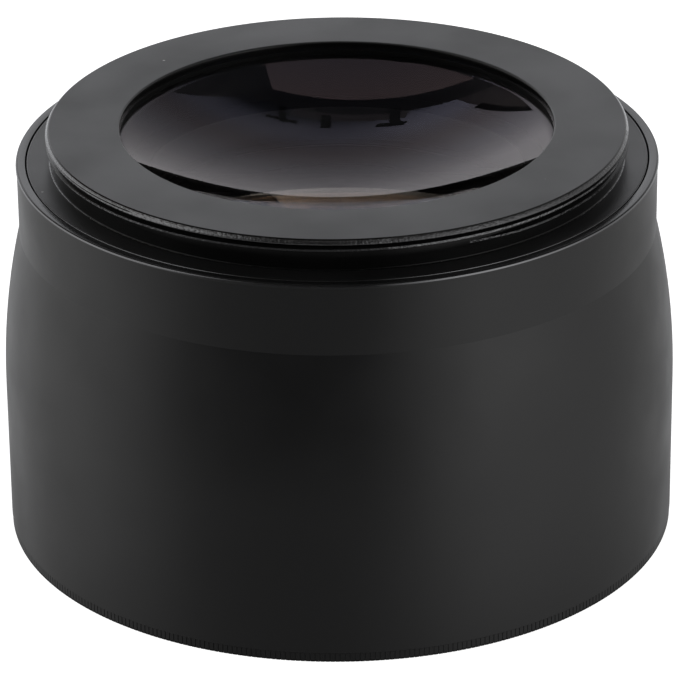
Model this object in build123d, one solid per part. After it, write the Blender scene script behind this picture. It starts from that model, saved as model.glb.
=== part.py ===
from build123d import *
import os
from math import cos, pi, sin, sqrt

# Telephoto conversion lens. Millimetres. It stands on its front rim, so Z runs from the front
# face (z = 0) along the optical axis to the camera side. All round pieces share the Z axis.
# Every radius is a step away from the rear mount thread, and every height from the two ends.

# Outer housing
total_height = 42.4
neck_height = 3.25
collar_height = 7.25
collar_wall = 0.98
land_overhang = 0.09
land_height = 0.35
bulge_height = 16.4
bulge_depth = 1.97
rim_inset = 0.05
rim_height = 0.95
front_edge_chamfer = 0.1
front_wall = 1.35

# Clearances between turned pieces
running_clearance = 0.05
seam_clearance = 0.06
cement_thickness = 0.02
glass_clearance = 0.05
seat_clearance = 0.02

# Rear mount
mount_thread_radius = 29.0
mount_thread_length = 1.5
mount_root_depth = 0.45
mount_chamfer = 0.5
flange_width = 1.95
flange_thickness = 1.5
plate_thickness = 0.9
plate_width = 7.42
mount_skirt_step = 0.5
mount_skirt_length = 5.0
mount_skirt_wall = 1.9
shim_thickness = 0.3
shim_width = 1.1

# Rear lens group
rear_glass_overlap = 1.92
rear_cell_wall = 2.0
rear_cell_lip = 0.45
rear_cell_thread_length = 4.2
rear_cell_neck_wall = 1.2
rear_rim_width = 1.9
concave_thickness = 2.0
concave_front_rim_width = 2.5
rear_air_gap = 0.7
meniscus_thickness = 3.0
meniscus_rim_width = 1.5
stop_thickness = 0.35
stop_width = 2.9
rear_washer_thickness = 0.25
rear_retainer_height = 1.9
rear_retainer_width = 2.0
rear_retainer_thread_depth = 0.9
cell_seal_diameter = 1.2
cell_seal_squash = 0.1

# Front lens group
front_cell_wall = 2.5
front_vertex_height = 3.2
crown_edge_thickness = 0.88
flint_thickness = 2.8
front_cell_lip = 1.6
front_seat_width = 1.4
front_washer_thickness = 0.2
front_retainer_thread_depth = 1.0
front_retainer_overlap = 1.0

# Spherical surfaces, each as its curve radius over the radius of its glass
front_surface_curve_ratio = 2.667
cemented_curve_ratio = 3.833
flint_rear_curve_ratio = 11.67
concave_rear_curve_ratio = 1.957
concave_front_curve_ratio = 6.81
meniscus_rear_curve_ratio = 5.53
meniscus_front_curve_ratio = 12.77

# Front ring
filter_wall = 1.5
filter_thread_length = 2.8
filter_thread_chamfer = 0.3
front_lip_thickness = 1.1
front_lip_width = 2.0
front_thread_length = 4.4
front_skirt_wall = 1.2
ring_cell_gap = 0.25
gasket_thickness = 0.5
gasket_width = 1.7

# Light baffle between the groups
baffle_step_down = 1.95
baffle_flange_thickness = 1.2
baffle_wall = 1.0
baffle_front_inset = 2.1
baffle_rear_margin = 0.1
baffle_step_count = 8
baffle_gap = 0.5
lock_ring_height = 1.5
lock_ring_width = 2.4
barrel_seat_width = 0.6

# Spanner slots in the three slotted rings
slot_width = 1.6
slot_depth = 0.8
slots_per_ring = 2

# Straight knurl round the front rim
knurl_tooth_count = 440
knurl_depth = 0.12
knurl_tip_share = 0.35

# Radii of the rear mount and the housing, outwards from the rear thread
mount_root_radius = mount_thread_radius - mount_root_depth
mount_skirt_radius = mount_thread_radius + mount_skirt_step
rear_window_radius = mount_thread_radius - plate_width
flange_radius = mount_thread_radius + flange_width
collar_radius = flange_radius + collar_wall
land_radius = collar_radius + land_overhang
body_radius = collar_radius + bulge_depth
rim_radius = body_radius - rim_inset

# Radii inside the housing
front_bore_radius = body_radius - front_wall
front_thread_radius = front_bore_radius - running_clearance
filter_thread_radius = front_thread_radius - filter_wall
front_lip_radius = filter_thread_radius - front_lip_width
front_glass_radius = front_thread_radius - front_cell_wall
front_retainer_thread_radius = front_glass_radius + front_retainer_thread_depth
front_retainer_opening_radius = front_glass_radius - front_retainer_overlap
baffle_flange_radius = front_thread_radius - baffle_step_down
baffle_front_radius = front_glass_radius - baffle_front_inset
rear_glass_radius = rear_window_radius + rear_glass_overlap
rear_retainer_opening_radius = rear_glass_radius - rear_retainer_width
stop_opening_radius = rear_glass_radius - stop_width
baffle_rear_radius = rear_retainer_opening_radius + baffle_rear_margin

# Curve radii of the glass surfaces
front_surface_radius = front_surface_curve_ratio * front_glass_radius
cemented_radius = cemented_curve_ratio * front_glass_radius
flint_rear_radius = flint_rear_curve_ratio * front_glass_radius
concave_rear_radius = concave_rear_curve_ratio * rear_glass_radius
concave_front_radius = concave_front_curve_ratio * rear_glass_radius
meniscus_rear_radius = meniscus_rear_curve_ratio * rear_glass_radius
meniscus_front_radius = meniscus_front_curve_ratio * rear_glass_radius

# Heights of the main seats, from the front face upwards
shoulder_z = total_height - neck_height
crease_z = shoulder_z - collar_height
bulge_start_z = crease_z - bulge_height
front_lip_z = filter_thread_length + front_lip_thickness
gasket_top_z = front_lip_z + gasket_thickness
front_skirt_top_z = rim_height + front_thread_length
front_cell_z = front_skirt_top_z + ring_cell_gap
recess_z = shoulder_z - flange_thickness - shim_thickness
plate_underside_z = total_height - plate_thickness


def sag(curve_radius, edge_radius):
    """Depth of a spherical surface between its vertex and a given distance from the axis."""
    return curve_radius - sqrt(curve_radius**2 - edge_radius**2)


def turned(*corners):
    """Solid turned about the lens axis from (radius, height) corners."""
    outline = Polyline(*corners, close=True)
    return revolve(Plane.XZ * make_face(outline), Axis.Z)


def turned_wire(*edges):
    """Solid turned about the lens axis from joined lines and arcs."""
    return revolve(Plane.XZ * make_face(Wire(edges)), Axis.Z)


def surface_arc(vertex_z, curve_radius, edge_radius, direction):
    """Half section of a spherical surface, from the axis out to its edge."""
    middle = edge_radius / 2
    return ThreePointArc(
        (0, vertex_z),
        (middle, vertex_z + direction * sag(curve_radius, middle)),
        (edge_radius, vertex_z + direction * sag(curve_radius, edge_radius)),
    )


def lens(front, rear, glass_radius):
    """Glass element between two surfaces, each with a vertex, curve, edge and direction."""
    front_arc = surface_arc(*front)
    rear_arc = surface_arc(*rear)
    front_edge = front_arc @ 1
    rear_edge = rear_arc @ 1
    path = [front_edge]
    for corner in (
        Vector(glass_radius, front_edge.Y),
        Vector(glass_radius, rear_edge.Y),
        rear_edge,
    ):
        if (corner - path[-1]).length > 1e-6:
            path.append(corner)
    sides = [Line(a, b) for a, b in zip(path, path[1:])]
    return turned_wire(front_arc, *sides, rear_arc, Line(rear_arc @ 0, front_arc @ 0))


def with_slots(ring, face_z, outer_radius):
    """Cuts radial spanner slots into the front face of a ring."""
    middle_z = face_z + slot_depth / 2
    for index in range(slots_per_ring):
        turn = Rot(0, 0, 360 * index / slots_per_ring)
        slot = Pos(outer_radius / 2, 0, middle_z) * Box(outer_radius, slot_width, slot_depth)
        ring = ring - turn * slot
    return ring


def knurled_rim():
    """Toothed band of the front ring, as a ring of flat-topped teeth."""
    pitch = 2 * pi / knurl_tooth_count
    root_radius = rim_radius - knurl_depth
    half_tip = pitch * knurl_tip_share / 2
    points = []
    for tooth in range(knurl_tooth_count):
        angle = tooth * pitch
        for radius, offset in ((root_radius, -pitch / 2), (rim_radius, -half_tip), (rim_radius, half_tip)):
            points.append((radius * cos(angle + offset), radius * sin(angle + offset)))
    band = extrude(make_face(Polyline(*points, close=True)), rim_height - front_edge_chamfer)
    return Pos(0, 0, front_edge_chamfer) * band


# Where the front glass sits
crown_front = (front_vertex_height, front_surface_radius, front_glass_radius, 1)
crown_edge_z = front_vertex_height + sag(front_surface_radius, front_glass_radius)
cement_z = crown_edge_z + crown_edge_thickness + sag(cemented_radius, front_glass_radius)
crown_rear = (cement_z, cemented_radius, front_glass_radius, -1)
flint_front = (cement_z + cement_thickness, cemented_radius, front_glass_radius, -1)
flint_rear_z = cement_z + cement_thickness + flint_thickness
flint_rear = (flint_rear_z, flint_rear_radius, front_glass_radius, -1)
front_seat_radius = front_glass_radius - front_seat_width
front_seat_z = flint_rear_z - sag(flint_rear_radius, front_seat_radius) + seat_clearance
front_cell_top_z = front_seat_z + front_cell_lip
lock_ring_z = front_cell_top_z + seat_clearance
baffle_z = lock_ring_z + lock_ring_height
baffle_seat_z = baffle_z + baffle_flange_thickness

# Where the rear glass sits, from the rear plate downwards
glass_rim_z = plate_underside_z - rear_cell_lip
concave_rear_edge = rear_glass_radius - rear_rim_width
concave_rear_z = glass_rim_z - sag(concave_rear_radius, concave_rear_edge)
concave_front_edge = rear_glass_radius - concave_front_rim_width
concave_front_z = concave_rear_z - concave_thickness
concave_front_rim_z = concave_front_z - sag(concave_front_radius, concave_front_edge)
meniscus_rear_z = concave_front_z - rear_air_gap
spacer_z = meniscus_rear_z - sag(meniscus_rear_radius, concave_front_edge)
meniscus_front_z = meniscus_rear_z - meniscus_thickness
meniscus_front_edge = rear_glass_radius - meniscus_rim_width
stop_z = meniscus_front_z - sag(meniscus_front_radius, meniscus_front_edge) - stop_thickness
washer_z = stop_z - rear_washer_thickness
rear_retainer_z = washer_z - rear_retainer_height
rear_cell_bore = rear_glass_radius + glass_clearance
rear_cell_radius = rear_cell_bore + rear_cell_wall
rear_retainer_radius = rear_glass_radius + rear_retainer_thread_depth
rear_cell_thread_z = plate_underside_z - rear_cell_thread_length


def outer_barrel():
    """Main housing: thin collar, swelling body and three inside bores."""
    seat_bore = baffle_flange_radius + running_clearance
    middle_bore = seat_bore - barrel_seat_width
    mount_bore = mount_skirt_radius + running_clearance
    mount_bore_z = recess_z - mount_skirt_length
    land_z = shoulder_z - land_height
    swell = (bulge_height**2 + (body_radius - collar_radius) ** 2) / 2
    swell_radius = swell / (body_radius - collar_radius)
    corners = [
        (body_radius, bulge_start_z),
        (body_radius, rim_height),
        (front_bore_radius, rim_height),
        (front_bore_radius, front_cell_top_z),
        (seat_bore, front_cell_top_z),
        (seat_bore, baffle_seat_z),
        (middle_bore, baffle_seat_z),
        (middle_bore, mount_bore_z),
        (mount_bore, mount_bore_z),
        (mount_bore, recess_z),
        (flange_radius + 2 * seam_clearance, recess_z),
        (flange_radius + 2 * seam_clearance, shoulder_z),
        (land_radius, shoulder_z),
        (land_radius, land_z),
        (collar_radius, land_z),
        (collar_radius, crease_z),
    ]
    lines = [Line(a, b) for a, b in zip(corners, corners[1:])]
    middle_z = bulge_start_z + bulge_height / 2
    middle_radius = body_radius - sag(swell_radius, bulge_height / 2)
    bulge = ThreePointArc(corners[-1], (middle_radius, middle_z), corners[0])
    return turned_wire(*lines, bulge)


def front_ring():
    """Knurled ring screwed into the front of the barrel, threaded inside for a filter."""
    root_radius = rim_radius - knurl_depth
    skirt_bore = front_thread_radius - front_skirt_wall
    chamfer = filter_thread_chamfer
    ring = turned(
        (filter_thread_radius + chamfer, 0),
        (root_radius - front_edge_chamfer, 0),
        (root_radius, front_edge_chamfer),
        (root_radius, rim_height),
        (front_thread_radius, rim_height),
        (front_thread_radius, front_skirt_top_z),
        (skirt_bore, front_skirt_top_z),
        (skirt_bore, front_lip_z),
        (front_lip_radius, front_lip_z),
        (front_lip_radius, filter_thread_length),
        (filter_thread_radius, filter_thread_length),
        (filter_thread_radius, chamfer),
    )
    bore = Cylinder(front_thread_radius, 2 * total_height)
    return ring + (knurled_rim() - bore)


def front_gasket():
    """Rubber ring on the inside step of the front ring."""
    outer = front_thread_radius - front_skirt_wall - running_clearance
    top = gasket_top_z - running_clearance
    return turned(
        (outer - gasket_width, front_lip_z),
        (outer, front_lip_z),
        (outer, top),
        (outer - gasket_width, top),
    )


def front_lens_cell():
    """Sleeve that carries the front glass, screwed up against the step in the barrel."""
    bore = front_glass_radius + glass_clearance
    retainer_bore = front_retainer_thread_radius + running_clearance
    return turned(
        (retainer_bore, front_cell_z),
        (front_thread_radius, front_cell_z),
        (front_thread_radius, front_cell_top_z),
        (front_seat_radius, front_cell_top_z),
        (front_seat_radius, front_seat_z),
        (bore, front_seat_z),
        (bore, crown_edge_z),
        (retainer_bore, crown_edge_z),
    )


def front_slip_washer():
    """Thin nylon washer between the front glass and its retaining ring."""
    inner = front_retainer_opening_radius
    inner_z = front_vertex_height + sag(front_surface_radius, inner) - seat_clearance
    outer_z = crown_edge_z - seat_clearance
    return turned(
        (inner, inner_z),
        (front_glass_radius, outer_z),
        (front_glass_radius, outer_z - front_washer_thickness),
        (inner, inner_z - front_washer_thickness),
    )


def front_retaining_ring():
    """Slotted ring that clamps the front glass into its cell."""
    inner = front_retainer_opening_radius
    washer = front_washer_thickness + 2 * seat_clearance
    inner_z = front_vertex_height + sag(front_surface_radius, inner) - washer
    outer_z = crown_edge_z - washer
    ring = turned(
        (inner, gasket_top_z),
        (front_retainer_thread_radius, gasket_top_z),
        (front_retainer_thread_radius, outer_z),
        (front_glass_radius, outer_z),
        (inner, inner_z),
    )
    return with_slots(ring, gasket_top_z, front_bore_radius)


def light_baffle_tube():
    """Black funnel between the two groups, stepped inside so that it throws back no light."""
    top_z = rear_retainer_z - baffle_gap
    step_height = (top_z - baffle_z) / baffle_step_count
    step_width = (baffle_front_radius - baffle_rear_radius) / (baffle_step_count - 1)
    outline = [
        (baffle_rear_radius + baffle_wall, top_z),
        (baffle_front_radius + baffle_wall, baffle_seat_z),
        (baffle_flange_radius, baffle_seat_z),
        (baffle_flange_radius, baffle_z),
    ]
    for step in range(baffle_step_count):
        radius = baffle_front_radius - step * step_width
        outline.append((radius, baffle_z + step * step_height))
        outline.append((radius, baffle_z + (step + 1) * step_height))
    return turned(*outline)


def baffle_lock_ring():
    """Slotted ring that holds the funnel's flange against its step in the barrel."""
    inner = baffle_flange_radius - lock_ring_width
    ring = turned(
        (inner, lock_ring_z),
        (baffle_flange_radius, lock_ring_z),
        (baffle_flange_radius, baffle_z),
        (inner, baffle_z),
    )
    return with_slots(ring, lock_ring_z, front_bore_radius)


def rear_mount_ring():
    """Camera-side ring: flat plate with its window, threaded neck, flange and inner skirt."""
    flange_z = shoulder_z - flange_thickness
    thread_z = total_height - mount_chamfer - mount_thread_length
    cell_bore = rear_cell_radius + running_clearance
    return turned(
        (rear_window_radius, plate_underside_z),
        (rear_window_radius, total_height),
        (mount_thread_radius - mount_chamfer, total_height),
        (mount_thread_radius, total_height - mount_chamfer),
        (mount_thread_radius, thread_z),
        (mount_root_radius, thread_z),
        (mount_root_radius, shoulder_z),
        (flange_radius, shoulder_z),
        (flange_radius, flange_z),
        (mount_skirt_radius, flange_z),
        (mount_skirt_radius, recess_z - mount_skirt_length),
        (mount_skirt_radius - mount_skirt_wall, recess_z - mount_skirt_length),
        (mount_skirt_radius - mount_skirt_wall, rear_cell_thread_z),
        (cell_bore, rear_cell_thread_z),
        (cell_bore, plate_underside_z),
    )


def mount_shim():
    """Brass shim under the flange that sets the distance between the two groups."""
    inner = flange_radius - shim_width
    return turned(
        (inner, recess_z),
        (flange_radius, recess_z),
        (flange_radius, recess_z + shim_thickness),
        (inner, recess_z + shim_thickness),
    )


def rear_lens_cell():
    """Sleeve that carries the rear glass, screwed up inside the neck against the plate."""
    neck_radius = rear_cell_bore + rear_cell_neck_wall
    retainer_bore = rear_retainer_radius + running_clearance
    groove_z = rear_cell_thread_z - cell_seal_diameter
    return turned(
        (rear_window_radius, plate_underside_z),
        (rear_cell_radius, plate_underside_z),
        (rear_cell_radius, rear_cell_thread_z),
        (neck_radius, rear_cell_thread_z),
        (neck_radius, groove_z),
        (rear_cell_radius, groove_z),
        (rear_cell_radius, rear_retainer_z),
        (retainer_bore, rear_retainer_z),
        (retainer_bore, washer_z),
        (rear_cell_bore, washer_z),
        (rear_cell_bore, glass_rim_z),
        (rear_window_radius, glass_rim_z),
    )


def cell_seal_ring():
    """Rubber O-ring in the groove of the rear cell, just under the mount ring's thread."""
    section = cell_seal_diameter / 2 - cell_seal_squash / 2
    ring_radius = rear_cell_bore + rear_cell_neck_wall + cell_seal_diameter / 2
    height = rear_cell_thread_z - cell_seal_diameter / 2
    return Pos(0, 0, height) * Torus(ring_radius, section)


def rear_concave_lens():
    """Hollow-faced glass seen through the rear window."""
    front = (concave_front_z, concave_front_radius, concave_front_edge, -1)
    rear = (concave_rear_z, concave_rear_radius, concave_rear_edge, 1)
    return lens(front, rear, rear_glass_radius)


def rear_lens_spacer():
    """Thin ring that keeps the two rear glasses apart."""
    return turned(
        (concave_front_edge, spacer_z),
        (rear_glass_radius, spacer_z),
        (rear_glass_radius, concave_front_rim_z),
        (concave_front_edge, concave_front_rim_z),
    )


def rear_meniscus_lens():
    """Second rear glass, bowed towards the camera side."""
    front = (meniscus_front_z, meniscus_front_radius, meniscus_front_edge, -1)
    rear = (meniscus_rear_z, meniscus_rear_radius, concave_front_edge, -1)
    return lens(front, rear, rear_glass_radius)


def rear_stop_plate():
    """Black light stop against the meniscus glass."""
    return turned(
        (stop_opening_radius, stop_z),
        (rear_glass_radius, stop_z),
        (rear_glass_radius, stop_z + stop_thickness),
        (stop_opening_radius, stop_z + stop_thickness),
    )


def rear_slip_washer():
    """Thin nylon washer between the stop and the rear retaining ring."""
    return turned(
        (rear_retainer_opening_radius, washer_z),
        (rear_glass_radius, washer_z),
        (rear_glass_radius, stop_z),
        (rear_retainer_opening_radius, stop_z),
    )


def rear_retaining_ring():
    """Slotted ring that clamps the rear glasses into their cell."""
    ring = turned(
        (rear_retainer_opening_radius, rear_retainer_z),
        (rear_retainer_radius, rear_retainer_z),
        (rear_retainer_radius, washer_z),
        (rear_retainer_opening_radius, washer_z),
    )
    return with_slots(ring, rear_retainer_z, rear_cell_radius)


pieces = {
    "outer_barrel": outer_barrel(),
    "front_ring": front_ring(),
    "front_gasket": front_gasket(),
    "front_lens_cell": front_lens_cell(),
    "front_crown_lens": lens(crown_front, crown_rear, front_glass_radius),
    "front_flint_lens": lens(flint_front, flint_rear, front_glass_radius),
    "front_slip_washer": front_slip_washer(),
    "front_retaining_ring": front_retaining_ring(),
    "light_baffle_tube": light_baffle_tube(),
    "baffle_lock_ring": baffle_lock_ring(),
    "rear_mount_ring": rear_mount_ring(),
    "mount_shim": mount_shim(),
    "rear_lens_cell": rear_lens_cell(),
    "cell_seal_ring": cell_seal_ring(),
    "rear_concave_lens": rear_concave_lens(),
    "rear_lens_spacer": rear_lens_spacer(),
    "rear_meniscus_lens": rear_meniscus_lens(),
    "rear_stop_plate": rear_stop_plate(),
    "rear_slip_washer": rear_slip_washer(),
    "rear_retaining_ring": rear_retaining_ring(),
}

os.makedirs("parts", exist_ok=True)
for node_name, piece in pieces.items():
    export_step(piece, f"parts/{node_name}.step")
    print(node_name, round(piece.volume), "mm3")
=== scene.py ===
from math import atan2, cos, degrees, hypot, pi, radians, sin, sqrt

import bpy
from mathutils import Matrix, Vector


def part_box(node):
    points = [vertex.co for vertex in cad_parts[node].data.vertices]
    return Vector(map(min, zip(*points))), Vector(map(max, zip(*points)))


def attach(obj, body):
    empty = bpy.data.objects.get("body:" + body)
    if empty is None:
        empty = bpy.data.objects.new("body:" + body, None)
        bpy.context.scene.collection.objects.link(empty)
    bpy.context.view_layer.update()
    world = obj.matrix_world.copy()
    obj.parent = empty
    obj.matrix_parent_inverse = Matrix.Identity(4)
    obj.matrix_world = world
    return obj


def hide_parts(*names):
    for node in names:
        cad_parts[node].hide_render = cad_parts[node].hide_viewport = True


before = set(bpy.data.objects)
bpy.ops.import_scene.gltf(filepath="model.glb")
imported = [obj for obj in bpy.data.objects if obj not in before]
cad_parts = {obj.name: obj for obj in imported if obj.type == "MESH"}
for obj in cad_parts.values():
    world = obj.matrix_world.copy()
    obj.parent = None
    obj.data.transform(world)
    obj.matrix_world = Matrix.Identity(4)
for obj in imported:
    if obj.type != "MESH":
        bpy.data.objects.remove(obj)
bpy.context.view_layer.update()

MM = 0.001

# Boxes of the solids, in millimetres


def low_z(node):
    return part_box(node)[0][2] / MM


def high_z(node):
    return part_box(node)[1][2] / MM


def outer(node):
    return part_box(node)[1][0] / MM


# Heights and radii that the solids fix, in millimetres

clearance = 0.05
top_z = high_z("rear_mount_ring")
shoulder_z = high_z("outer_barrel")
plate_bottom_z = high_z("rear_lens_cell")
seal_z = plate_bottom_z - 4.2
rear_retainer_z = low_z("rear_retaining_ring")
front_cell_top_z = high_z("front_lens_cell")
baffle_seat_z = high_z("baffle_lock_ring") + 1.2
recess_z = low_z("mount_shim")
skirt_bottom_z = low_z("rear_mount_ring")
rim_z = low_z("outer_barrel")
crease_z = shoulder_z - 7.25
bulge_start_z = crease_z - 16.4

body_radius = outer("outer_barrel")
collar_radius = 31.93
land_radius = 32.02
window_radius = 21.58

# The camera-side thread, in millimetres

pitch = 0.75
root_radius = 28.55
crest_radius = 28.97
chamfer_radius = 28.75
plate_radius = 28.62
crest_z = top_z - 0.38


# Turning and threading


def clear_selection():
    if bpy.context.object and bpy.context.object.mode != "OBJECT":
        bpy.ops.object.mode_set(mode="OBJECT")
    bpy.ops.object.select_all(action="DESELECT")


def make_active(piece):
    clear_selection()
    piece.select_set(True)
    bpy.context.view_layer.objects.active = piece


def name_new(name):
    """Names the object that was added last, and its mesh."""
    piece = bpy.context.object
    piece.name = name
    piece.data.name = name
    return piece


def settle(piece):
    """Puts the object's place into its mesh, so that the object sits at the origin."""
    make_active(piece)
    bpy.ops.object.transform_apply(location=True, rotation=True, scale=True)


def turn(name, outline, segments=240, closed=True):
    """Turns an outline of (radius, height) corners round the lens axis, one loop at a time."""
    clear_selection()
    radius, height = outline[0]
    bpy.ops.mesh.primitive_circle_add(
        vertices=segments, radius=radius * MM, location=(0, 0, height * MM), enter_editmode=True
    )
    piece = name_new(name)
    bpy.ops.mesh.select_all(action="SELECT")
    for next_radius, next_height in outline[1:]:
        rise = (next_height - height) * MM
        bpy.ops.mesh.extrude_region_move(TRANSFORM_OT_translate={"value": (0, 0, rise)})
        grow = next_radius / radius
        bpy.ops.transform.resize(value=(grow, grow, 1))
        radius, height = next_radius, next_height
    bpy.ops.mesh.select_all(action="DESELECT")
    bpy.ops.mesh.select_non_manifold()
    if closed:
        bpy.ops.mesh.bridge_edge_loops()
    else:
        bpy.ops.mesh.edge_face_add()
    bpy.ops.mesh.select_all(action="SELECT")
    bpy.ops.mesh.normals_make_consistent(inside=False)
    bpy.ops.object.mode_set(mode="OBJECT")
    settle(piece)
    return piece


def pick(piece, chosen):
    """Edit mode, with only those corners of the piece selected that pass the test."""
    make_active(piece)
    bpy.ops.object.mode_set(mode="EDIT")
    bpy.ops.mesh.select_mode(type="VERT")
    bpy.ops.mesh.select_all(action="DESELECT")
    bpy.ops.object.mode_set(mode="OBJECT")
    for vertex in piece.data.vertices:
        vertex.select = chosen(vertex)
    bpy.ops.object.mode_set(mode="EDIT")


def soften(piece, width, segments=2, limit=28):
    """Takes the sharp turned corners off with a small rounded bevel."""
    bevel = piece.modifiers.new("broken edges", "BEVEL")
    bevel.width = width * MM
    bevel.segments = segments
    bevel.limit_method = "ANGLE"
    bevel.angle_limit = radians(limit)
    bevel.use_clamp_overlap = True
    make_active(piece)
    bpy.ops.object.modifier_apply(modifier=bevel.name)


def smooth(piece, angle=35, crease=None):
    """Rounds the shading, and keeps the flats flat beside their rounded edges and any crease line sharp."""
    make_active(piece)
    bpy.ops.object.shade_smooth_by_angle(angle=radians(angle))
    if crease:
        pick(piece, crease)
        bpy.ops.mesh.mark_sharp()
        bpy.ops.object.mode_set(mode="OBJECT")
    flats = piece.modifiers.new("flats stay flat", "WEIGHTED_NORMAL")
    flats.keep_sharp = True
    bpy.ops.object.modifier_apply(modifier=flats.name)


def join(piece, *others):
    make_active(piece)
    for other in others:
        other.select_set(True)
    bpy.ops.object.join()


def thread_ridge(name, root, crest, start_z, turns, start_angle, segments=144, crest_flat=pitch / 8):
    """Right-hand helical ridge of a 60 degree thread, running down from start_z and fading at both ends."""
    foot = min(crest_flat + 2 * abs(crest - root) / sqrt(3), pitch * 0.92)
    middle = (root + crest) / 2
    clear_selection()
    bpy.ops.mesh.primitive_plane_add(
        size=1, location=(middle * MM, 0, start_z * MM), rotation=(pi / 2, 0, 0), enter_editmode=True
    )
    ridge = name_new(name)
    bpy.ops.mesh.delete(type="ONLY_FACE")
    bpy.ops.mesh.select_all(action="SELECT")
    bpy.ops.transform.resize(value=(abs(crest - root) * MM, 1, foot * MM))
    bpy.ops.object.mode_set(mode="OBJECT")
    settle(ridge)
    pick(ridge, lambda vertex: abs(vertex.co.x / MM - crest) < 0.01)
    bpy.ops.transform.resize(value=(1, 1, crest_flat / foot))
    bpy.ops.object.mode_set(mode="OBJECT")
    screw = ridge.modifiers.new("thread", "SCREW")
    screw.axis = "Z"
    screw.angle = -2 * pi * turns
    screw.screw_offset = -pitch * turns * MM
    screw.steps = screw.render_steps = int(segments * turns)
    screw.use_merge_vertices = False
    make_active(ridge)
    bpy.ops.object.modifier_apply(modifier=screw.name)
    # the last stretch at both ends sinks below the root, as a cutter leaves it
    fade = segments // 24
    last_ring = int(segments * turns)
    for step in range(fade):
        sunk = 1 + (root - crest) * 1.15 * (1 - step / fade) / middle
        pick(ridge, lambda vertex: vertex.index // 4 in (step, last_ring - step))
        bpy.ops.transform.resize(value=(sunk, sunk, 1), center_override=(0, 0, 0))
    pick(ridge, lambda vertex: False)
    bpy.ops.mesh.select_non_manifold()
    bpy.ops.mesh.edge_face_add()
    bpy.ops.mesh.select_all(action="SELECT")
    bpy.ops.mesh.normals_make_consistent(inside=False)
    bpy.ops.transform.rotate(value=-start_angle, orient_axis="Z", center_override=(0, 0, 0))
    bpy.ops.object.mode_set(mode="OBJECT")
    return ridge


def round_corner(radius, height, size):
    """Points of a rounded outer top edge, from the flat top down to the wall."""
    turned = [pi * step / 8 for step in range(5)]
    return [(radius - size + size * sin(angle), height - size + size * cos(angle)) for angle in turned]


def curve_depth(curve_radius, edge_radius):
    """How far a spherical surface rises between its middle and an edge."""
    return curve_radius - sqrt(curve_radius**2 - edge_radius**2)


def arc_heights(vertex_z, curve_radius, edge_radius, direction, steps=30):
    """(radius, height) points of a spherical surface from its edge in towards the axis."""
    radii = [edge_radius * (1 - step / steps) for step in range(steps)]
    return [(radius, vertex_z + direction * curve_depth(curve_radius, radius)) for radius in radii]


# Node trees


def feed(tree, node, inputs):
    """Links each named or numbered input to another node's output, or gives it a value of its own."""
    for label, value in inputs.items():
        if isinstance(value, bpy.types.NodeSocket):
            tree.links.new(value, node.inputs[label])
        else:
            node.inputs[label].default_value = value


def add(tree, kind, inputs=None, **settings):
    node = tree.nodes.new(kind)
    for key, value in settings.items():
        setattr(node, key, value)
    feed(tree, node, inputs or {})
    return node


def calculate(tree, operation, *values):
    return add(tree, "ShaderNodeMath", dict(enumerate(values)), operation=operation).outputs[0]


def mix_colors(tree, share, first, second, blend="MIX"):
    inputs = {"Factor": share, "A": first, "B": second}
    return add(tree, "ShaderNodeMix", inputs, data_type="RGBA", blend_type=blend).outputs["Result"]


def mix_shaders(tree, share, first, second):
    return add(tree, "ShaderNodeMixShader", {"Fac": share, 1: first, 2: second}).outputs[0]


def ramp(tree, place, levels):
    """Colour ramp through (place, shade) pairs in rising order; a shade is a grey or a colour."""
    node = add(tree, "ShaderNodeValToRGB", {0: place})
    stops = node.color_ramp.elements
    for number, (position, shade) in enumerate(levels):
        if number == 0:
            stop = stops[0]
        elif number == len(levels) - 1:
            stop = stops[-1]
        else:
            stop = stops.new(position)
        stop.position = position
        stop.color = (*shade, 1) if isinstance(shade, tuple) else (shade, shade, shade, 1)
    return node.outputs[0]


def new_group(name, inputs, outputs):
    """Shader node group whose inputs, with their usual values, and outputs are all numbers."""
    group = bpy.data.node_groups.new(name, "ShaderNodeTree")
    for label, usual in inputs.items():
        socket = group.interface.new_socket(label, in_out="INPUT", socket_type="NodeSocketFloat")
        socket.default_value = usual
    for label in outputs:
        group.interface.new_socket(label, in_out="OUTPUT", socket_type="NodeSocketFloat")
    return group, group.nodes.new("NodeGroupInput"), group.nodes.new("NodeGroupOutput")


# Finishes


def turning_marks():
    """Fine rings left by the lathe, and the grain of the anodising over them."""
    group, entry, leave = new_group(
        "turning_marks",
        {"Rings per mm": 6.0, "Grain per mm": 9.0, "Grain share": 0.5},
        ("Height", "Cloud"),
    )
    place = add(group, "ShaderNodeTexCoord").outputs["Object"]
    x, y, z = add(group, "ShaderNodeSeparateXYZ", {0: place}).outputs
    squared_x = calculate(group, "MULTIPLY", x, x)
    squared_y = calculate(group, "MULTIPLY", y, y)
    radius = calculate(group, "SQRT", calculate(group, "ADD", squared_x, squared_y))
    lathe = add(
        group,
        "ShaderNodeTexNoise",
        {
            "Vector": add(group, "ShaderNodeCombineXYZ", {0: radius, 1: z}).outputs[0],
            "Scale": calculate(group, "MULTIPLY", entry.outputs["Rings per mm"], 1 / MM),
            "Detail": 2.0,
        },
        noise_dimensions="2D",
    )
    grain = add(
        group,
        "ShaderNodeTexNoise",
        {
            "Vector": place,
            "Scale": calculate(group, "MULTIPLY", entry.outputs["Grain per mm"], 1 / MM),
            "Detail": 3.0,
        },
    )
    height = add(
        group,
        "ShaderNodeMix",
        {"Factor": entry.outputs["Grain share"], "A": lathe.outputs[0], "B": grain.outputs[0]},
    )
    cloud = add(group, "ShaderNodeTexNoise", {"Vector": place, "Scale": 110.0, "Detail": 4.0})
    feed(group, leave, {"Height": height.outputs["Result"], "Cloud": cloud.outputs[0]})
    return group


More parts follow.
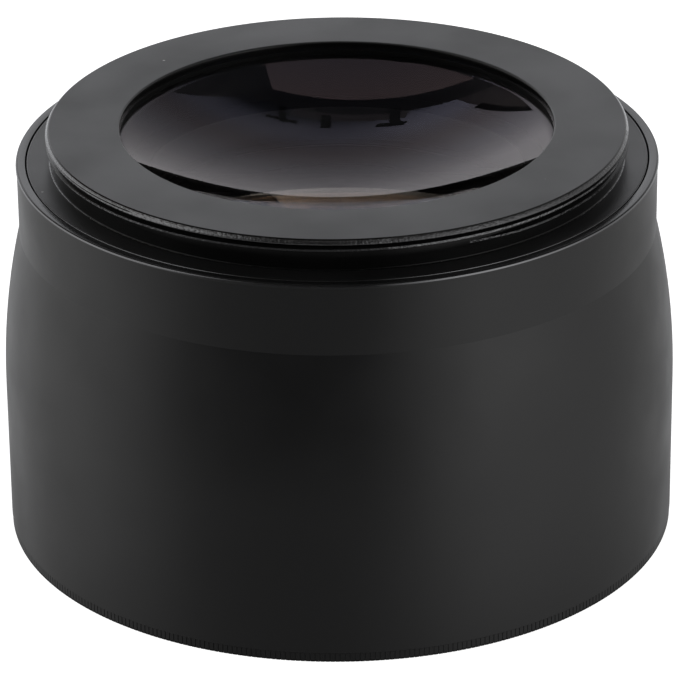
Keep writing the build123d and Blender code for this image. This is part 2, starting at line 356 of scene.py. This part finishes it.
def dust():
    """Small pale specks, thin on the ground, as a mask."""
    group, entry, leave = new_group(
        "dust_specks", {"Cells per mm": 0.45, "Size": 0.06, "Share": 0.2}, ("Mask",)
    )
    cells = add(
        group,
        "ShaderNodeTexVoronoi",
        {
            "Vector": add(group, "ShaderNodeTexCoord").outputs["Object"],
            "Scale": calculate(group, "MULTIPLY", entry.outputs["Cells per mm"], 1 / MM),
        },
    )
    chance = add(group, "ShaderNodeSeparateColor", {0: cells.outputs["Color"]})
    near = calculate(group, "LESS_THAN", cells.outputs["Distance"], entry.outputs["Size"])
    kept = calculate(group, "LESS_THAN", chance.outputs[0], entry.outputs["Share"])
    feed(group, leave, {"Mask": calculate(group, "MULTIPLY", near, kept)})
    return group


turning_group = turning_marks()
dust_group = dust()


def specks_mask(tree, cells, size, share):
    inputs = {"Cells per mm": cells, "Size": size, "Share": share}
    return add(tree, "ShaderNodeGroup", inputs, node_tree=dust_group).outputs[0]


def new_finish(name):
    material = bpy.data.materials.new(name)
    material.use_nodes = True
    return material, material.node_tree, material.node_tree.nodes["Principled BSDF"]


def metal(
    name,
    color,
    roughness,
    rings=5.0,
    grain=8.0,
    grain_share=0.65,
    depth=0.004,
    specular=0.5,
    spread=0.06,
    specks=None,
    bare=0.0,
):
    """Black anodised aluminium with lathe rings, grain and slight clouding.

    rings and grain are counts per millimetre, and depth is how deep they are, in millimetres.
    specks, if any, are (cells per mm, size, share, grey) of the pale flecks on it.
    bare is how far the anodising is rubbed through to the metal."""
    material, tree, shader = new_finish(name)
    marks = add(
        tree,
        "ShaderNodeGroup",
        {"Rings per mm": rings, "Grain per mm": grain, "Grain share": grain_share},
        node_tree=turning_group,
    )
    cloud = marks.outputs["Cloud"]
    bump = add(
        tree, "ShaderNodeBump", {"Strength": 1.0, "Distance": depth * MM, "Height": marks.outputs["Height"]}
    )
    rough = add(
        tree,
        "ShaderNodeMapRange",
        {
            "Value": cloud,
            "From Min": 0.3,
            "From Max": 0.7,
            "To Min": roughness - spread,
            "To Max": roughness + spread,
        },
    )
    tint = mix_colors(tree, cloud, (*color, 1), (*(1.5 * c for c in color), 1))
    if specks:
        *fleck_sizes, grey = specks
        mask = specks_mask(tree, *fleck_sizes)
        tint = mix_colors(tree, mask, tint, (grey, grey * 0.98, grey * 0.95, 1))
    feed(
        tree,
        shader,
        {
            "Base Color": tint,
            "Metallic": bare,
            "Specular IOR Level": specular,
            "Roughness": rough.outputs[0],
            "Normal": bump.outputs[0],
        },
    )
    return material


def soft_black(name, color, roughness, grain, depth, specular=0.4):
    """Plastic, rubber, sheet or paint with a fine grain."""
    return metal(
        name,
        color,
        roughness,
        rings=grain,
        grain=grain,
        grain_share=1.0,
        depth=depth,
        specular=specular,
        spread=0.08,
    )


def coated_glass(name, tint, film, film_index=1.38, glint=(1.0, 1.0, 1.0)):
    """Polished glass with a thin anti-reflection coating, film nanometres thick, and a few specks of dust."""
    material, tree, shader = new_finish(name)
    place = add(tree, "ShaderNodeTexCoord").outputs["Object"]
    haze = add(tree, "ShaderNodeTexNoise", {"Vector": place, "Scale": 60.0, "Detail": 3.0})
    body = mix_colors(tree, haze.outputs[0], (*tint, 1), (*(0.97 * c for c in tint), 1))
    mask = specks_mask(tree, 0.3, 0.03, 0.15)
    feed(
        tree,
        shader,
        {
            "Base Color": body,
            "Metallic": 0.0,
            "Roughness": calculate(tree, "MULTIPLY", mask, 0.7),
            "Transmission Weight": 1.0,
            "IOR": 1.52,
            "Thin Film Thickness": film,
            "Thin Film IOR": film_index,
            "Specular Tint": (*glint, 1),
        },
    )
    return material


anodised = metal("satin_black_anodising", (0.0085, 0.0085, 0.0088), 0.38)
land_black = metal("land_anodising", (0.0105, 0.0105, 0.0107), 0.21, specular=0.80)
knurl_black = metal("knurl_anodising", (0.0085, 0.0085, 0.0088), 0.36, specular=0.45)
plate_black = metal(
    "plate_black_anodising",
    (0.010, 0.010, 0.0102),
    0.36,
    grain=7.0,
    grain_share=0.8,
    depth=0.005,
    specular=0.385,
    specks=(0.45, 0.06, 0.05, 0.3),
)
inner_black = metal(
    "inner_black_anodising",
    (0.004, 0.004, 0.004),
    0.6,
    rings=4.0,
    grain=9.0,
    grain_share=0.5,
    depth=0.006,
    specular=0.15,
)
neck_black = metal(
    "neck_black", (0.0045, 0.0045, 0.0045), 0.2, rings=6.0, grain=5.0, grain_share=0.5, specular=0.2
)
worn_crests = metal(
    "worn_start_of_thread",
    (0.155, 0.155, 0.158),
    0.18,
    rings=9.0,
    grain=4.0,
    grain_share=0.85,
    depth=0.09,
    bare=1.0,
)
dull_crests = metal(
    "worn_thread_crests",
    (0.09, 0.09, 0.092),
    0.26,
    rings=9.0,
    grain=4.0,
    grain_share=0.85,
    depth=0.10,
    bare=1.0,
)
worn_edge = metal(
    "worn_collar_edge", (0.16, 0.16, 0.165), 0.26, rings=7.0, grain=5.0, grain_share=0.6, depth=0.01, bare=1.0
)
shim_brass = metal(
    "shim_brass_sheet", (0.42, 0.29, 0.10), 0.3, rings=4.0, grain_share=0.6, depth=0.003, specular=0.8
)
blackened_steel = metal(
    "blackened_steel", (0.010, 0.010, 0.010), 0.4, rings=4.0, grain_share=0.7, depth=0.005
)
# darker, rougher black for the bottom strip of the knurl: painted contact shadow where the front ring stands
# on the table
contact_shadow_black = soft_black("painted_contact_shadow", (0.004, 0.004, 0.004), 0.8, 8.0, 0.004)
edge_ink = soft_black("glass_edge_ink", (0.004, 0.004, 0.004), 0.6, 10.0, 0.004)
baffle_plastic = soft_black("baffle_plastic", (0.004, 0.004, 0.004), 0.75, 7.0, 0.01, 0.12)
black_rubber = soft_black("gasket_rubber", (0.010, 0.010, 0.010), 0.55, 5.0, 0.008)
nylon = soft_black("nylon_sheet", (0.62, 0.61, 0.57), 0.45, 6.0, 0.003)
rear_glass = coated_glass("rear_glass_coating", (0.965, 0.955, 0.965), 124.0)
inner_glass = coated_glass("inner_glass_coating", (0.96, 0.955, 0.96), 97.0, 1.25, (1.0, 0.90, 0.94))
front_glass = coated_glass("front_glass_coating", (0.96, 0.97, 0.96), 105.0, 1.3)


def finish_with(piece, *materials):
    piece.data.materials.clear()
    for material in materials:
        piece.data.materials.append(material)


# Pieces of the lens


def on_crease(vertex):
    return abs(vertex.co.z / MM - crease_z) < 0.01 and vertex.co.xy.length > 0.031


def swelling_barrel():
    """One-piece housing: land, collar, crease and swelling body, with its three inside bores."""
    bore = outer("front_lens_cell") + clearance
    seat_bore = outer("light_baffle_tube") + clearance
    ledge_bore = seat_bore - 0.6
    mount_bore = 31.07
    skirt_bore = 29.55
    land_foot_z = shoulder_z - 0.35
    depth = body_radius - collar_radius
    height = crease_z - bulge_start_z
    curve = (height**2 + depth**2) / (2 * depth)
    outline = [
        (mount_bore, shoulder_z),
        *round_corner(land_radius, shoulder_z, 0.22),
        (land_radius, land_foot_z),
        (collar_radius, land_foot_z),
        (collar_radius, crease_z),
    ]
    for step in range(1, 13):
        z = crease_z - height * step / 12
        outline.append((body_radius - curve_depth(curve, z - bulge_start_z), z))
    outline += [
        (body_radius, 8.0),
        (body_radius, rim_z),
        (bore, rim_z),
        (bore, front_cell_top_z),
        (seat_bore, front_cell_top_z),
        (seat_bore, baffle_seat_z),
        (ledge_bore, baffle_seat_z),
        (ledge_bore, skirt_bottom_z),
        (skirt_bore, skirt_bottom_z),
        (skirt_bore, recess_z),
        (mount_bore, recess_z),
    ]
    barrel = turn("swelling_barrel", outline, segments=288)
    soften(barrel, 0.09, segments=3)
    smooth(barrel, crease=on_crease)
    finish_with(barrel, anodised, land_black, neck_black, worn_edge)
    for face in barrel.data.polygons:
        if face.center.z / MM > shoulder_z - 0.25 and face.normal.z > 0.05:
            inside = face.center.xy.length / MM < 31.3
            face.material_index = 1 if face.normal.z > 0.99 else 2 if inside or face.normal.z > 0.7 else 3
    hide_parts("outer_barrel")
    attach(barrel, "barrel")


def mount_finish(face, on_ridge):
    """Number of the finish that a face of the mount gets, by its place on the plate, neck or flange."""
    plate, neck, worn, dull, flange_edge = range(5)
    radius = face.center.xy.length / MM
    height = face.center.z / MM
    outward = face.normal.xy.dot(face.center.xy) / face.center.xy.length
    # from the front to the right the first turn is worn bright and the plate's edge is dull
    worn_side = -80 < degrees(atan2(face.center.y, face.center.x)) < -5
    if on_ridge and outward > 0.9:
        return worn if worn_side and height > top_z - 1.3 else dull
    if radius > chamfer_radius + 0.01 and height > crest_z - 0.15:
        return dull if worn_side else worn
    if radius > plate_radius + 0.01 and height > top_z - 0.11:
        return plate if worn_side else neck
    if radius > 30.8 and height > shoulder_z - 0.16 and 0.05 < face.normal.z < 0.99:
        return neck if face.normal.z > 0.7 else flange_edge
    if radius < root_radius + 0.2 and 0 < height - shoulder_z < 0.06 and face.normal.z > 0.3:
        return dull
    if radius > root_radius - 0.06 and shoulder_z + 0.005 < height < top_z - 0.02:
        return neck
    return neck if radius < window_radius + 0.02 else plate


def threaded_mount():
    """Camera-side ring: flat plate with the window, threaded neck, flange and skirt."""
    cell_bore = outer("rear_lens_cell") + clearance
    flange_radius = 30.95
    flange_foot_z = shoulder_z - 1.5
    skirt_radius = 29.5
    skirt_bore = 27.6
    outline = [
        (window_radius, plate_bottom_z),
        (window_radius, top_z - 0.24),
        (window_radius + 0.05, top_z - 0.10),
        (window_radius + 0.22, top_z),
        (25.0, top_z),
        (plate_radius, top_z),
        (chamfer_radius, top_z - 0.10),
        (crest_radius, crest_z),
        (crest_radius, crest_z - 0.13),
        (root_radius, crest_z - 0.37),
        (root_radius, shoulder_z + 0.12),
        (root_radius + 0.05, shoulder_z + 0.05),
        (root_radius + 0.15, shoulder_z),
        *round_corner(flange_radius, shoulder_z, 0.14),
        (flange_radius, flange_foot_z),
        (skirt_radius, flange_foot_z),
        (skirt_radius, skirt_bottom_z),
        (skirt_bore, skirt_bottom_z),
        (skirt_bore, seal_z),
        (cell_bore, seal_z),
        (cell_bore, plate_bottom_z),
    ]
    mount = turn("threaded_mount", outline, segments=288)
    soften(mount, 0.035, limit=32)
    ridge = thread_ridge(
        "mount_ridge",
        root_radius - 0.05,
        crest_radius - 0.01,
        top_z - 0.36,
        turns=1.854,
        start_angle=radians(-120),
        segments=180,
        crest_flat=0.2,
    )
    for piece in (mount, ridge):
        finish_with(piece, plate_black, neck_black, worn_crests, dull_crests, worn_edge)
        for face in piece.data.polygons:
            face.material_index = mount_finish(face, piece == ridge)
    join(mount, ridge)
    smooth(mount)
    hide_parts("rear_mount_ring")
    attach(mount, "barrel")


def knurl_teeth(tip, foot_z, count=440, depth=0.06, height=0.93):
    """The straight knurl of the front rim: one tooth, spun round the axis."""
    width = 1.12 * 2 * pi * tip / count
    reach = depth + 0.3
    clear_selection()
    bpy.ops.mesh.primitive_cube_add(
        size=1, location=((tip - reach / 2) * MM, 0, height / 2 * MM), enter_editmode=True
    )
    teeth = name_new("knurl_teeth")
    bpy.ops.transform.resize(value=(reach * MM, width * MM, height * MM))
    bpy.ops.object.mode_set(mode="OBJECT")
    settle(teeth)
    pick(teeth, lambda vertex: vertex.co.x / MM > tip - 0.01)
    bpy.ops.transform.resize(value=(1, 0.74, 0.98))
    bpy.ops.mesh.select_all(action="SELECT")
    # cut at foot_z, so that the strip below it can take the painted contact shadow
    bpy.ops.mesh.bisect(plane_co=(0, 0, foot_z * MM), plane_no=(0, 0, 1))
    bpy.ops.mesh.select_all(action="SELECT")
    bpy.ops.mesh.spin(steps=count, dupli=True, angle=2 * pi, center=(0, 0, 0), axis=(0, 0, 1))
    bpy.ops.mesh.select_all(action="SELECT")
    bpy.ops.mesh.remove_doubles(threshold=1e-6)
    bpy.ops.mesh.normals_make_consistent(inside=False)
    bpy.ops.object.mode_set(mode="OBJECT")
    return teeth


def knurled_front_ring():
    """Ring screwed into the front of the barrel: knurl outside, filter thread inside, thread on its skirt."""
    tip = body_radius - 0.05
    band = tip - 0.06
    foot_z = 0.16
    filter_bore = 31.35
    lip_bore = 29.0
    skirt_bore = 31.3
    skirt_radius = 32.0
    lip_z = 2.8
    lip_top_z = 3.9
    skirt_top_z = rim_z + 4.4
    outline = [
        (filter_bore, 0.0),
        (band - 0.02, 0.0),
        (band, 0.02),
        (band, foot_z),
        (band, 0.91),
        (band - 0.04, rim_z),
        (skirt_radius, rim_z),
        (skirt_radius, skirt_top_z),
        (skirt_bore, skirt_top_z),
        (skirt_bore, lip_top_z),
        (lip_bore, lip_top_z),
        (lip_bore, lip_z),
        (filter_bore, lip_z),
    ]
    ring = turn("knurled_front_ring", outline)
    soften(ring, 0.03, limit=40)
    outside = thread_ridge("skirt_ridge", 31.95, 32.48, rim_z + 4.1, turns=5.2, start_angle=radians(20))
    inside = thread_ridge("filter_ridge", 31.4, 31.0, 2.6, turns=3.0, start_angle=radians(80))
    join(ring, outside, inside, knurl_teeth(tip, foot_z))
    finish_with(ring, anodised, contact_shadow_black, knurl_black)
    # the band and teeth below foot_z take the painted contact shadow, the rest of the knurl the knurl
    # anodising
    for face in ring.data.polygons:
        if face.center.xy.length / MM > band - 0.01:
            face.material_index = 1 if face.center.z / MM < foot_z else 2
    smooth(ring)
    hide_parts("front_ring")
    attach(ring, "knurled_ring")


def rear_cell_sleeve():
    """Sleeve whose lip shows under the window and whose bore holds the rear glass."""
    bore = outer("rear_concave_lens") + clearance
    retainer_bore = outer("rear_retaining_ring") + clearance
    radius = outer("rear_lens_cell")
    washer_z = high_z("rear_retaining_ring")
    glass_rim_z = high_z("rear_concave_lens")
    groove_size = 1.2
    groove_radius = bore + groove_size
    outline = [
        (window_radius, plate_bottom_z),
        (radius, plate_bottom_z),
        (radius, seal_z),
        (groove_radius, seal_z),
        (groove_radius, seal_z - groove_size),
        (radius, seal_z - groove_size),
        (radius, rear_retainer_z),
        (retainer_bore, rear_retainer_z),
        (retainer_bore, washer_z),
        (bore, washer_z),
        (bore, glass_rim_z),
        (window_radius, glass_rim_z),
    ]
    cell = turn("rear_cell_sleeve", outline)
    soften(cell, 0.03, segments=1, limit=40)
    smooth(cell)
    finish_with(cell, inner_black)
    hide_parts("rear_lens_cell")
    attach(cell, "barrel")


def glass(name, node, front, rear, edge_radius, front_finish, rear_finish):
    """Polished element between two spherical faces, with its ground edge inked black.

    front and rear are (vertex height, curve radius, edge radius, direction) of the lower and upper face."""
    upper = arc_heights(*rear)
    lower = arc_heights(*front)
    outline = list(reversed(upper))
    for corner in ((edge_radius, upper[0][1]), (edge_radius, lower[0][1])):
        if hypot(corner[0] - outline[-1][0], corner[1] - outline[-1][1]) > 1e-6:
            outline.append(corner)
    if hypot(outline[-1][0] - lower[0][0], outline[-1][1] - lower[0][1]) < 1e-6:
        outline.pop()
    outline += lower
    piece = turn(name, outline, segments=192, closed=False)
    finish_with(piece, rear_finish, edge_ink, front_finish)
    for face in piece.data.polygons:
        if abs(face.normal.z) < 0.3 or face.center.xy.length / MM > max(front[2], rear[2]) + 0.01:
            face.material_index = 1
        elif face.normal.z < 0:
            face.material_index = 2
    smooth(piece, 30)
    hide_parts(node)
    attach(piece, "barrel")


def rear_elements():
    """The hollow glass in the window and the meniscus behind it, with the same curves as the solids."""
    edge_radius = outer("rear_concave_lens")
    hollow = 1.957 * edge_radius
    belly = 6.81 * edge_radius
    hollow_edge = edge_radius - 1.9
    belly_edge = edge_radius - 2.5
    hollow_z = high_z("rear_concave_lens") - curve_depth(hollow, hollow_edge)
    hollow_thickness = 2.0
    glass(
        "hollow_rear_glass",
        "rear_concave_lens",
        (hollow_z - hollow_thickness, belly, belly_edge, -1),
        (hollow_z, hollow, hollow_edge, 1),
        edge_radius,
        rear_glass,
        rear_glass,
    )
    bowed = 5.53 * edge_radius
    weak = 12.77 * edge_radius
    bowed_z = high_z("rear_meniscus_lens")
    bowed_thickness = 3.0
    glass(
        "bowed_rear_glass",
        "rear_meniscus_lens",
        (bowed_z - bowed_thickness, weak, edge_radius - 1.5, -1),
        (bowed_z, bowed, belly_edge, -1),
        edge_radius,
        inner_glass,
        inner_glass,
    )


def front_doublet():
    """Crown and flint, cemented, with the same curves as the solids."""
    edge_radius = outer("front_crown_lens")
    first = 2.667 * edge_radius
    cemented = 3.833 * edge_radius
    last = 11.67 * edge_radius
    crown_z = low_z("front_crown_lens")
    cement_z = high_z("front_crown_lens")
    flint_z = high_z("front_flint_lens")
    cement_thickness = 0.02
    glass(
        "front_crown_glass",
        "front_crown_lens",
        (crown_z, first, edge_radius, 1),
        (cement_z, cemented, edge_radius, -1),
        edge_radius,
        front_glass,
        inner_glass,
    )
    glass(
        "front_flint_glass",
        "front_flint_lens",
        (cement_z + cement_thickness, cemented, edge_radius, -1),
        (flint_z, last, edge_radius, -1),
        edge_radius,
        inner_glass,
        inner_glass,
    )


def dress_inner_pieces():
    """The hidden solids keep their shape and get their own finishes."""
    finishes = {
        "front_gasket": black_rubber,
        "front_lens_cell": inner_black,
        "front_slip_washer": nylon,
        "front_retaining_ring": inner_black,
        "light_baffle_tube": baffle_plastic,
        "baffle_lock_ring": inner_black,
        "mount_shim": shim_brass,
        "cell_seal_ring": black_rubber,
        "rear_lens_spacer": inner_black,
        "rear_stop_plate": blackened_steel,
        "rear_slip_washer": nylon,
        "rear_retaining_ring": inner_black,
    }
    for node, finish in finishes.items():
        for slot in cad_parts[node].material_slots:
            slot.material = finish


# Table, light and camera


def bare_material(name):
    """Material with an empty node tree, and its output node."""
    material = bpy.data.materials.new(name)
    material.use_nodes = True
    tree = material.node_tree
    tree.nodes.clear()
    return material, tree, add(tree, "ShaderNodeOutputMaterial")


def emission(tree, color):
    return add(tree, "ShaderNodeEmission", {"Color": (*color, 1)}).outputs[0]


def glowing(name, color):
    material, tree, out = bare_material(name)
    feed(tree, out, {"Surface": emission(tree, color)})
    return material


def level_disc(name, radius, height, material):
    """Round flat sheet on or under the lens, in metres."""
    clear_selection()
    bpy.ops.mesh.primitive_circle_add(vertices=64, radius=radius, fill_type="NGON", location=(0, 0, height))
    disc = bpy.context.object
    disc.name = name
    disc.data.materials.append(material)
    return disc


def pale_table():
    """White table that burns out in the picture; the satin black mirrors the tent below it instead."""
    material, tree, out = bare_material("pale_table_top")
    seen = add(tree, "ShaderNodeLightPath")
    side = add(tree, "ShaderNodeNewGeometry")
    grain = add(tree, "ShaderNodeTexNoise", {"Scale": 40.0})
    tone = mix_colors(tree, grain.outputs[0], (0.78, 0.78, 0.78, 1), (0.82, 0.82, 0.82, 1))
    paper = add(tree, "ShaderNodeBsdfDiffuse", {"Color": tone}).outputs[0]
    glow = add(tree, "ShaderNodeEmission", {"Strength": 0.97}).outputs[0]
    clear = add(tree, "ShaderNodeBsdfTransparent").outputs[0]
    burnt_out = add(tree, "ShaderNodeAddShader", {0: paper, 1: glow}).outputs[0]
    pictured = mix_shaders(tree, seen.outputs["Is Camera Ray"], paper, burnt_out)
    mirrored = mix_shaders(tree, seen.outputs["Is Glossy Ray"], pictured, clear)
    # from below the table is clear, so that the front of the lens can be seen through it
    beneath = calculate(tree, "MULTIPLY", seen.outputs["Is Camera Ray"], side.outputs["Backfacing"])
    feed(tree, out, {"Surface": mix_shaders(tree, beneath, mirrored, clear)})
    level_disc("pale_table", 3.0, -0.00002, material)


def painted_shadow_under_lens():
    """Dark glowing disc under the lens: a painted shadow of the lens on the table, which only shows through
    the glasses.
    """
    patch = level_disc("painted_shadow_disc", 0.033, -0.0001, glowing("painted_table_shadow", (0.083, 0.09, 0.108)))
    patch.visible_camera = False


def shade_round_lens():
    """Soft shade on the table round the lens, which only the black flanks mirror."""
    material, tree, out = bare_material("table_shade")
    coords = add(tree, "ShaderNodeTexCoord")
    reach = add(tree, "ShaderNodeVectorMath", {0: coords.outputs["Object"]}, operation="LENGTH")
    strength = add(
        tree,
        "ShaderNodeMapRange",
        {
            "Value": reach.outputs["Value"],
            "From Min": 0.034,
            "From Max": 0.058,
            "To Min": 0.5,
            "To Max": 0.0,
        },
    )
    clear = add(tree, "ShaderNodeBsdfTransparent").outputs[0]
    dim = emission(tree, (0.22, 0.22, 0.22))
    feed(tree, out, {"Surface": mix_shaders(tree, strength.outputs[0], clear, dim)})
    shade = level_disc("shade_on_table", 0.06, -0.00005, material)
    shade.visible_camera = False
    shade.visible_diffuse = False
    shade.visible_transmission = False


def light_tent():
    """White tent round the lens: open and dark towards the camera, brightest front right, dark overhead."""
    world = bpy.data.worlds.new("light_tent")
    bpy.context.scene.world = world
    world.use_nodes = True
    tree = world.node_tree
    tree.nodes.clear()
    seen = add(tree, "ShaderNodeLightPath")
    coords = add(tree, "ShaderNodeTexCoord")
    x, y, z = add(tree, "ShaderNodeSeparateXYZ", {0: coords.outputs["Generated"]}).outputs
    # direction round the lens, 0.5 towards the camera and 0 or 1 straight behind
    bearing = calculate(tree, "ARCTAN2", x, calculate(tree, "MULTIPLY", y, -1.0))
    place = calculate(tree, "ADD", calculate(tree, "MULTIPLY", bearing, 0.5 / pi), 0.5)
    around = ramp(
        tree,
        place,
        (
            (0.0, (0.98, 0.99, 1.03)),
            (0.09, (0.93, 0.94, 0.965)),
            (0.16, 0.77),
            (0.24, 1.05),
            (0.30, 0.80),
            (0.36, 0.10),
            (0.45, 0.03),
            (0.545, 0.03),
            (0.60, 0.95),
            (0.645, 1.25),
            (0.70, 1.0),
            (0.75, 0.65),
            (0.81, 0.50),
            (0.88, 0.65),
            (0.93, (0.93, 0.94, 0.965)),
            (1.0, (0.98, 0.99, 1.03)),
        ),
    )
    # brightness by height above the table, coloured only in the polished glass
    upward = ramp(
        tree,
        z,
        (
            (0.0, 1.0),
            (0.34, 0.98),
            (0.50, 0.79),
            (0.64, (0.63, 0.58, 0.55)),
            (0.69, (0.64, 0.61, 0.60)),
            (0.73, (0.705, 0.70, 0.73)),
            (0.77, (0.575, 0.575, 0.605)),
            (0.79, (0.395, 0.395, 0.415)),
            (0.815, 0.14),
            (0.86, 0.06),
            (1.0, 0.04),
        ),
    )
    grey = add(tree, "ShaderNodeRGBToBW", {0: upward}).outputs[0]
    tinted = mix_colors(tree, seen.outputs["Is Singular Ray"], grey, upward)
    # a bigger window behind on the left, above the height that the body mirrors
    window = ramp(
        tree,
        place,
        (
            (0.0, 0.0),
            (0.008, 0.06),
            (0.02, 0.18),
            (0.04, 0.58),
            (0.06, 0.85),
            (0.085, 0.85),
            (0.11, 0.0),
            (1.0, 0.0),
        ),
    )
    above = add(tree, "ShaderNodeMapRange", {"Value": z, "From Min": 0.12, "From Max": 0.30})
    brighter = calculate(tree, "ADD", calculate(tree, "MULTIPLY", window, above.outputs[0]), 1.0)
    widened = add(tree, "ShaderNodeVectorMath", {0: around, "Scale": brighter}, operation="SCALE")
    tent_light = mix_colors(tree, 1.0, widened.outputs[0], tinted, blend="MULTIPLY")
    # the table mixes the light that it throws back from below
    downward = add(
        tree,
        "ShaderNodeMapRange",
        {"Value": z, "From Min": -0.15, "From Max": -0.42, "To Min": 0.0, "To Max": 0.56},
    )
    mixed = mix_colors(tree, downward.outputs[0], tent_light, (0.43, 0.43, 0.43, 1))
    tent = add(tree, "ShaderNodeBackground", {"Color": mixed}).outputs[0]
    white = add(tree, "ShaderNodeBackground", {"Color": (1, 1, 1, 1)}).outputs[0]
    both = mix_shaders(tree, seen.outputs["Is Camera Ray"], tent, white)
    add(tree, "ShaderNodeOutputWorld", {"Surface": both})
    bpy.context.scene.view_settings.view_transform = "Standard"


def brown_panel_light():
    """Brown for the polished glass, and a dim grey for the satin surfaces, which blur it."""
    material, tree, out = bare_material("ceiling_panel_brown")
    seen = add(tree, "ShaderNodeLightPath")
    blurred = emission(tree, (0.30, 0.30, 0.30))
    brown = emission(tree, (1.02, 0.75, 0.60))
    feed(tree, out, {"Surface": mix_shaders(tree, seen.outputs["Is Singular Ray"], blurred, brown)})
    return material


def studio_ceiling():
    """What the hollow glass mirrors from above: a dim brown panel in a dark frame, clamps and a pole."""
    dark = glowing("ceiling_dark", (0.10, 0.095, 0.09))
    dusk = glowing("ceiling_dusk", (0.25, 0.22, 0.20))
    black = glowing("clamp_black", (0.03, 0.03, 0.03))
    brown = brown_panel_light()
    # name, x, y, length and depth in metres, turn in degrees, light, height in metres
    for name, x, y, length, depth, yaw, light, height in (
        ("dark_frame", -0.20, 0.132, 1.02, 1.10, -13.3, dark, 1.0),
        ("frame_lip", -0.045, 0.690, 0.36, 0.10, -13.3, dusk, 1.02),
        ("brown_panel", -0.23, 0.30, 0.96, 0.52, -11.0, brown, 0.99),
        ("panel_end", 0.42, 0.28, 0.40, 0.60, 8.6, dark, 0.98),
        ("left_wing", 0.851, 0.451, 1.4, 1.0, 43.7, dark, 1.0),
        ("right_wing", -0.985, 0.87, 1.0, 1.6, 24.7, dusk, 1.01),
        ("pole", -0.61, 1.25, 0.035, 0.80, 24.7, black, 0.98),
        ("clamp", 0.155, 0.670, 0.022, 0.15, 0.0, black, 0.97),
        ("clamp", 0.031, 0.705, 0.030, 0.13, 0.0, black, 0.97),
        ("clamp", -0.167, 0.705, 0.032, 0.15, 0.0, black, 0.97),
        ("clamp", 0.157, 0.716, 0.095, 0.030, -17.0, black, 0.97),
        ("clamp", -0.157, 0.785, 0.090, 0.040, -17.0, black, 0.97),
    ):
        clear_selection()
        bpy.ops.mesh.primitive_plane_add(size=1, location=(x, y, height), rotation=(0, 0, radians(yaw)))
        board = bpy.context.object
        board.name = name
        board.scale = (length, depth, 1)
        board.data.materials.append(light)
        board.visible_camera = False
        board.visible_diffuse = False


def soft_lights():
    """Small soft lights high beside the camera, which pick out the rounded edges and the thread crests."""
    for name, place, energy in (
        ("left_light", Vector((-0.62, -0.33, 0.55)), 0.25),
        ("right_light", Vector((0.58, -0.42, 0.55)), 0.18),
    ):
        data = bpy.data.lights.new(name, "AREA")
        data.shape = "RECTANGLE"
        data.size = 0.4
        data.size_y = 0.35
        data.energy = energy
        light = bpy.data.objects.new(name, data)
        light.matrix_world = Matrix.Translation(place) @ place.to_track_quat("Z", "Y").to_matrix().to_4x4()
        bpy.context.scene.collection.objects.link(light)


def photo_camera():
    """Camera at the photo's distance, height and slight roll."""
    tilt = radians(25.3408)
    roll = radians(-0.6440)
    ahead = Vector((0, cos(tilt), -sin(tilt)))
    up = Vector((0, sin(tilt), cos(tilt)))
    right = Vector((1, 0, 0))
    camera_x = right * cos(roll) + up * sin(roll)
    camera_y = up * cos(roll) - right * sin(roll)
    turned = Matrix((camera_x, camera_y, -ahead)).transposed().to_4x4()
    turned.translation = Vector((0.0865, -413.13, 214.04)) * MM
    data = bpy.data.cameras.new("photo_camera")
    data.sensor_width = 36.0
    data.lens = 237.98
    data.clip_start = 0.01
    data.clip_end = 20.0
    camera = bpy.data.objects.new("photo_camera", data)
    camera.matrix_world = turned
    bpy.context.scene.collection.objects.link(camera)
    bpy.context.scene.camera = camera


swelling_barrel()
threaded_mount()
knurled_front_ring()
rear_cell_sleeve()
rear_elements()
front_doublet()
dress_inner_pieces()
pale_table()
painted_shadow_under_lens()
shade_round_lens()
light_tent()
studio_ceiling()
soft_lights()
photo_camera()

clear_selection()
